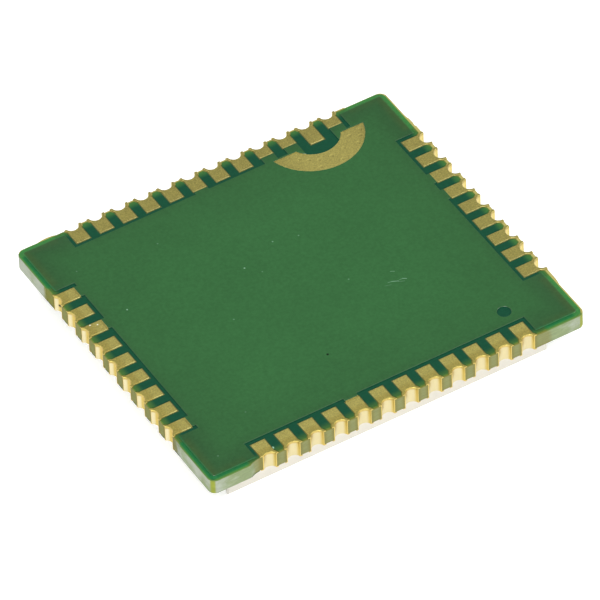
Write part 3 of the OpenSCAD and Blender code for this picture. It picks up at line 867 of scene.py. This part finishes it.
def plate(name, width, reach, ring_r, corner_r, low_z, high_z):
    """A flat round plate with a tongue to +Y that has rounded corners."""
    chord = math.sqrt(ring_r ** 2 - width ** 2 / 4)
    bpy.ops.object.select_all(action="DESELECT")
    bpy.ops.mesh.primitive_circle_add(vertices=ROUND, radius=ring_r, fill_type="NGON", location=(0, 0, low_z))
    piece = settle(name)
    with editing(piece):
        bpy.ops.mesh.select_all(action="SELECT")
        bpy.ops.mesh.bisect(plane_co=(0, chord, 0), plane_no=(0, 1, 0), clear_outer=True, threshold=CUT)
        # The cut can leave two points a micrometre apart
        bpy.ops.mesh.select_all(action="SELECT")
        bpy.ops.mesh.remove_doubles(threshold=NEAR * 2)
        select_edges(piece, lambda edge: all(abs(vertex.co.y - chord) < NEAR for vertex in edge.verts))
        bpy.ops.mesh.extrude_edges_move(TRANSFORM_OT_translate={"value": (0, reach - chord, 0)})
        bpy.ops.mesh.select_all(action="SELECT")
        bpy.ops.mesh.extrude_region_move(TRANSFORM_OT_translate={"value": (0, 0, high_z - low_z)})
        bpy.ops.mesh.select_all(action="SELECT")
        bpy.ops.mesh.normals_make_consistent(inside=False)
        select_edges(piece, lambda edge: upright_at(edge, reach))
        bpy.ops.mesh.bevel(offset=corner_r, segments=5, affect="EDGES")
    return piece


def mill(piece, line):
    """Cuts away what lies before a line across the Y axis."""
    with editing(piece):
        bpy.ops.mesh.select_all(action="SELECT")
        bpy.ops.mesh.bisect(
            plane_co=(0, line, 0), plane_no=(0, 1, 0), use_fill=True, clear_inner=True, threshold=CUT)


def model_contact(sizes, mill_d, pad_w, pad_l, dip):
    """A pad, a plated half hole and a land. The hole's axis is the Z axis, and +Y points into the board."""
    low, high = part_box("contact_01")
    pad_z = high.z - sizes.copper_t
    land_z = low.z + sizes.copper_t
    ring_r = sizes.hole_r + sizes.ring_w
    middle = (0, 0)
    pad = plate("contact", pad_w, pad_l, ring_r, sizes.corner_r, pad_z, high.z)
    land = plate("land", sizes.pad_w, sizes.land_l, ring_r, sizes.corner_r, low.z, land_z)
    barrel = rod("barrel", sizes.hole_r + sizes.plating_t, middle, land_z, pad_z)
    shells = (pad, land, barrel)
    for shell in shells:
        combine(shell, rod("bore", sizes.hole_r, middle, low.z - ring_r, high.z + ring_r), "DIFFERENCE")
    for shell, level in ((pad, high.z), (land, low.z)):
        with editing(shell):
            select_edges(shell, lambda edge: sharp_at(edge, (level,)))
            bpy.ops.mesh.bevel(offset=sizes.rim_r, segments=3, affect="EDGES", clamp_overlap=False)
    for shell in shells:
        mill(shell, mill_d)
        if dip:
            step, depth = dip
            dip_at = (step, mill_d + depth - sizes.dip_r)
            cutter = rod("dip", sizes.dip_r, dip_at, low.z - ring_r, high.z + ring_r, LARGE_ROUND)
            combine(shell, cutter, "DIFFERENCE")
    pick(pad)
    land.select_set(True)
    barrel.select_set(True)
    bpy.ops.object.join()
    cut_y = mill_d + (dip[1] if dip else 0) + NEAR
    for face in pad.data.polygons:
        off_bore = face.center.to_2d().length > OFF_BORE * sizes.hole_r
        milled = face.center.y < cut_y and face.normal.y < MILLED_FACING
        face.material_index = int(off_bore and milled)
    return pad


class GSM_OT_contacts(bpy.types.Operator):
    """Models the plated contacts, one at each contact of the frame"""
    bl_idname = "gsm.contacts"
    bl_label = "Plated contacts"

    def execute(self, context):
        sizes = context.scene.gsm_contacts
        gold = gold_finish(context.scene.gsm_colours)
        milled = milled_finish(context.scene.gsm_colours)
        models = {}
        dips = {
            FRONT_DIP: (-sizes.front_dip_step, sizes.front_dip_d),
            BACK_DIP: (sizes.back_dip_step, sizes.back_dip_d),
        }
        for number in range(1, sum(EDGE_COUNTS) + 1):
            pad_w, pad_l = pad_size(number, sizes)
            turn, low, high = contact_box(number)
            row = high.y - max(pad_l, sizes.land_l)
            kind = (round(low.y - row, 7), pad_w, pad_l, dips.get(number))
            if kind not in models:
                models[kind] = model_contact(sizes, *kind)
            place = turn @ Matrix.Translation((along_edge(number, sizes.pitch), row, 0))
            node = f"contact_{number:02d}"
            piece = copy_to(models[kind], f"plated_{node}", place)
            finish_piece(piece, gold, "gold_plating", node)
            piece.data.materials.append(milled)
        for model in models.values():
            bpy.data.objects.remove(model)
        return {"FINISHED"}


class GSM_OT_ground_arc(bpy.types.Operator):
    """Models the bare ground arc with its plugged vias"""
    bl_idname = "gsm.ground_arc"
    bl_label = "Ground arc"

    def execute(self, context):
        sizes = context.scene.gsm_arc
        low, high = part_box("antenna_ground_arc")
        middle = Vector(((low.x + high.x) / 2, low.y + sizes.outer_r, high.z))
        above = high.z + sizes.outer_r
        piece = rod("bare_ground_arc", sizes.outer_r, middle, low.z, high.z, LARGE_ROUND)
        combine(piece, rod("inside", sizes.inner_r, middle, -above, above, LARGE_ROUND), "DIFFERENCE")
        corner = (low.x - sizes.outer_r, high.y, -above)
        far = (high.x + sizes.outer_r, high.y + 2 * sizes.outer_r, above)
        combine(piece, block("flat", corner, far), "DIFFERENCE")
        with editing(piece):
            select_edges(piece, lambda edge: sharp_at(edge, (high.z,)))
            bpy.ops.mesh.bevel(offset=sizes.rim_r, segments=3, affect="EDGES", clamp_overlap=False)
        inner = [(angle, sizes.inner_r + sizes.inner_gap) for angle in INNER_VIAS]
        outer = [(angle, sizes.outer_r - sizes.outer_gap) for angle in OUTER_VIAS]
        for angle, radius in inner + outer:
            turn = Matrix.Rotation(math.radians(180 - angle), 4, "Z")
            spot = middle + turn @ Vector((0, radius, -sizes.via_h))
            bpy.ops.object.select_all(action="DESELECT")
            bpy.ops.mesh.primitive_uv_sphere_add(
                segments=48, ring_count=32, location=spot, scale=(sizes.via_r, sizes.via_r, 2 * sizes.via_h))
            combine(piece, settle("via"), "UNION")
        finish_piece(piece, look("gold_plating"), "gold_plating", "antenna_ground_arc")
        return {"FINISHED"}


class GSM_OT_board(bpy.types.Operator):
    """Rounds off the routed board, on a merged copy of its CAD node"""
    bl_idname = "gsm.board"
    bl_label = "Routed board"

    def execute(self, context):
        sizes = context.scene.gsm_board
        low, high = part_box("laminate")
        piece = copy_node("laminate", "routed_board")
        round_plateau(piece, high.z, sizes.rim_r, 1)
        round_plateau(piece, low.z, sizes.rim_r, -1)
        finish_piece(piece, laminate_finish(context.scene.gsm_colours), "laminate", "laminate")
        return {"FINISHED"}


class GSM_OT_solder_mask(bpy.types.Operator):
    """Rounds the mask where it steps over the copper, on a merged copy of its CAD node"""
    bl_idname = "gsm.solder_mask"
    bl_label = "Solder mask"

    def execute(self, context):
        sizes = context.scene.gsm_board
        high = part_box("solder_side_mask")[1]
        piece = copy_node("solder_side_mask", "flowed_mask")
        round_plateau(piece, high.z, sizes.step_r, 1)
        finish_piece(piece, mask_finish(context.scene.gsm_colours), "green_mask", "solder_side_mask")
        return {"FINISHED"}


class GSM_OT_carried_nodes(bpy.types.Operator):
    """Gives the CAD nodes that stay in view their materials"""
    bl_idname = "gsm.carried_nodes"
    bl_label = "Parts from the frame"

    def execute(self, context):
        colours = context.scene.gsm_colours
        gold = look("gold_plating")
        green = look("green_mask")
        tin = tin_finish(colours)
        solder = plain_finish("solder", colours.solder, metallic=1.0, roughness=0.25, scale=6)
        moulding = plain_finish("moulding", colours.moulding, metallic=0.0, roughness=0.5, scale=16)
        pale = plain_finish("pale_ceramic", colours.pale_ceramic, metallic=0.0, roughness=0.35, scale=10)
        ceramic = plain_finish("ceramic", colours.ceramic, metallic=0.0, roughness=0.35, scale=10)
        ferrite = plain_finish("ferrite", colours.ferrite, metallic=0.0, roughness=0.45, scale=12)
        finishes = {
            "ground_pour": gold, "component_side_copper": gold, "component_side_mask": green,
            "shield_can": tin, "baseband_processor": moulding, "processor_balls": solder,
            "power_amplifier": moulding, "reference_crystal": pale, "reference_crystal_lid": tin,
            "clock_crystal": pale, "clock_crystal_lid": tin, "supply_capacitors": ceramic,
            "bypass_capacitors": ceramic, "matching_inductors": ferrite, "resistors": moulding,
        }
        for name, material in finishes.items():
            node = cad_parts[name]
            node.data.materials.clear()
            node.data.materials.append(material)
        return {"FINISHED"}


# Stage

# The camera's place, its axes, and the nearest and farthest distance that it shows, in metres
CAMERA_AT = Vector((-119.597, -212.216, 240.464)) * MM
CAMERA_RIGHT = Vector((0.85480876, -0.51795528, -0.0320049))
CAMERA_UP = Vector((0.38279073, 0.58769501, 0.7128014))
CAMERA_NEAR = 0.01
CAMERA_FAR = 10

# Bands in which the sky changes, along a unit direction: from the front to the back, and up from the horizon
SKY_DEPTH = (-0.6, 0.0)
SKY_HEIGHT = (0.05, 0.6)
WHITE = (1, 1, 1)

# Soft boxes, as name, place in metres, side in metres and power in watts
SOFT_BOXES = (
    ("key_light", (-0.30, -0.30, 0.30), 0.30, 1.0),
    ("fill_light", (0.34, -0.22, 0.26), 0.30, 0.6),
    ("top_light", (-0.10, 0.05, 0.50), 0.40, 0.9),
)


def floor_finish(stage):
    """A pale floor that the camera and the metal see as white, with the object's shadow kept."""
    finish = Finish(bpy.data.materials.new("floor"))
    camera, glossy, clear = (
        finish.node("ShaderNodeLightPath", {}, {}, f"Is {ray} Ray")
        for ray in ("Camera", "Glossy", "Transmission"))
    strength = finish.higher(finish.higher(camera, glossy), clear) * stage.floor_glow
    glow = finish.node("ShaderNodeEmission", {}, {"Color": WHITE, "Strength": strength})
    matt = finish.node("ShaderNodeBsdfDiffuse", {}, {"Color": stage.floor[:]})
    both = finish.node("ShaderNodeAddShader", {}, {0: glow, 1: matt})
    finish.node("ShaderNodeOutputMaterial", {}, {"Surface": both})
    return finish.owner


def light_world(scene, stage):
    """A white sweep round the object: bright near the horizon, quieter above, white to the camera."""
    world = bpy.data.worlds.new("studio")
    scene.world = world
    finish = Finish(world)
    facing = finish.node("ShaderNodeTexCoord", {}, {}, "Generated")
    behind = finish.rise(finish.part(facing, 1), *SKY_DEPTH)
    high = finish.rise(finish.part(facing, 2), *SKY_HEIGHT)
    above = stage.sky_front + behind * (stage.sky_high - stage.sky_front)
    sky = stage.sky_low + high * (above - stage.sky_low)
    seen = finish.node("ShaderNodeLightPath", {}, {}, "Is Camera Ray")
    strength = finish.higher(sky, seen)
    light = finish.node("ShaderNodeBackground", {}, {"Color": WHITE, "Strength": strength})
    finish.node("ShaderNodeOutputWorld", {}, {"Surface": light})


class GSM_OT_stage(bpy.types.Operator):
    """Sets up the floor, the soft light and the camera"""
    bl_idname = "gsm.stage"
    bl_label = "Stage"

    def execute(self, context):
        scene = context.scene
        stage = scene.gsm_stage
        bpy.ops.object.select_all(action="DESELECT")
        bpy.ops.mesh.primitive_plane_add(size=stage.floor_s)
        floor = settle("floor")
        floor.data.materials.append(floor_finish(stage))
        light_world(scene, stage)
        for name, place, side, power in SOFT_BOXES:
            bpy.ops.object.light_add(type="AREA", location=place)
            lamp = context.object
            lamp.name = name
            lamp.data.size = side
            lamp.data.energy = power
            lamp.rotation_euler = Vector(place).to_track_quat("Z", "Y").to_euler()
        bpy.ops.object.camera_add()
        camera = context.object
        camera.data.lens = stage.lens
        camera.data.clip_start = CAMERA_NEAR
        camera.data.clip_end = CAMERA_FAR
        back = CAMERA_RIGHT.cross(CAMERA_UP)
        turn = Matrix((CAMERA_RIGHT, CAMERA_UP, back)).transposed().to_4x4()
        camera.matrix_world = Matrix.Translation(CAMERA_AT) @ turn
        scene.camera = camera
        scene.view_settings.view_transform = "Standard"
        return {"FINISHED"}


class GSM_PT_panel(bpy.types.Panel):
    """Lists the steps in the sidebar of the 3D view"""
    bl_idname = "GSM_PT_panel"
    bl_label = "GSM module"
    bl_space_type = "VIEW_3D"
    bl_region_type = "UI"
    bl_category = "GSM module"

    def draw(self, context):
        for step in STEPS:
            self.layout.operator(step.bl_idname)


STEPS = (
    GSM_OT_contacts, GSM_OT_ground_arc, GSM_OT_board, GSM_OT_solder_mask, GSM_OT_carried_nodes, GSM_OT_stage)
CLASSES = (*GROUPS.values(), *STEPS, GSM_PT_panel)


def register():
    for cls in CLASSES:
        bpy.utils.register_class(cls)
    for name, group in GROUPS.items():
        setattr(bpy.types.Scene, name, bpy.props.PointerProperty(type=group))


def unregister():
    for name in GROUPS:
        delattr(bpy.types.Scene, name)
    for cls in reversed(CLASSES):
        bpy.utils.unregister_class(cls)


def main():
    register()
    bpy.ops.gsm.contacts()
    bpy.ops.gsm.ground_arc()
    bpy.ops.gsm.board()
    bpy.ops.gsm.solder_mask()
    bpy.ops.gsm.carried_nodes()
    bpy.ops.gsm.stage()


if __name__ == "__main__":
    main()
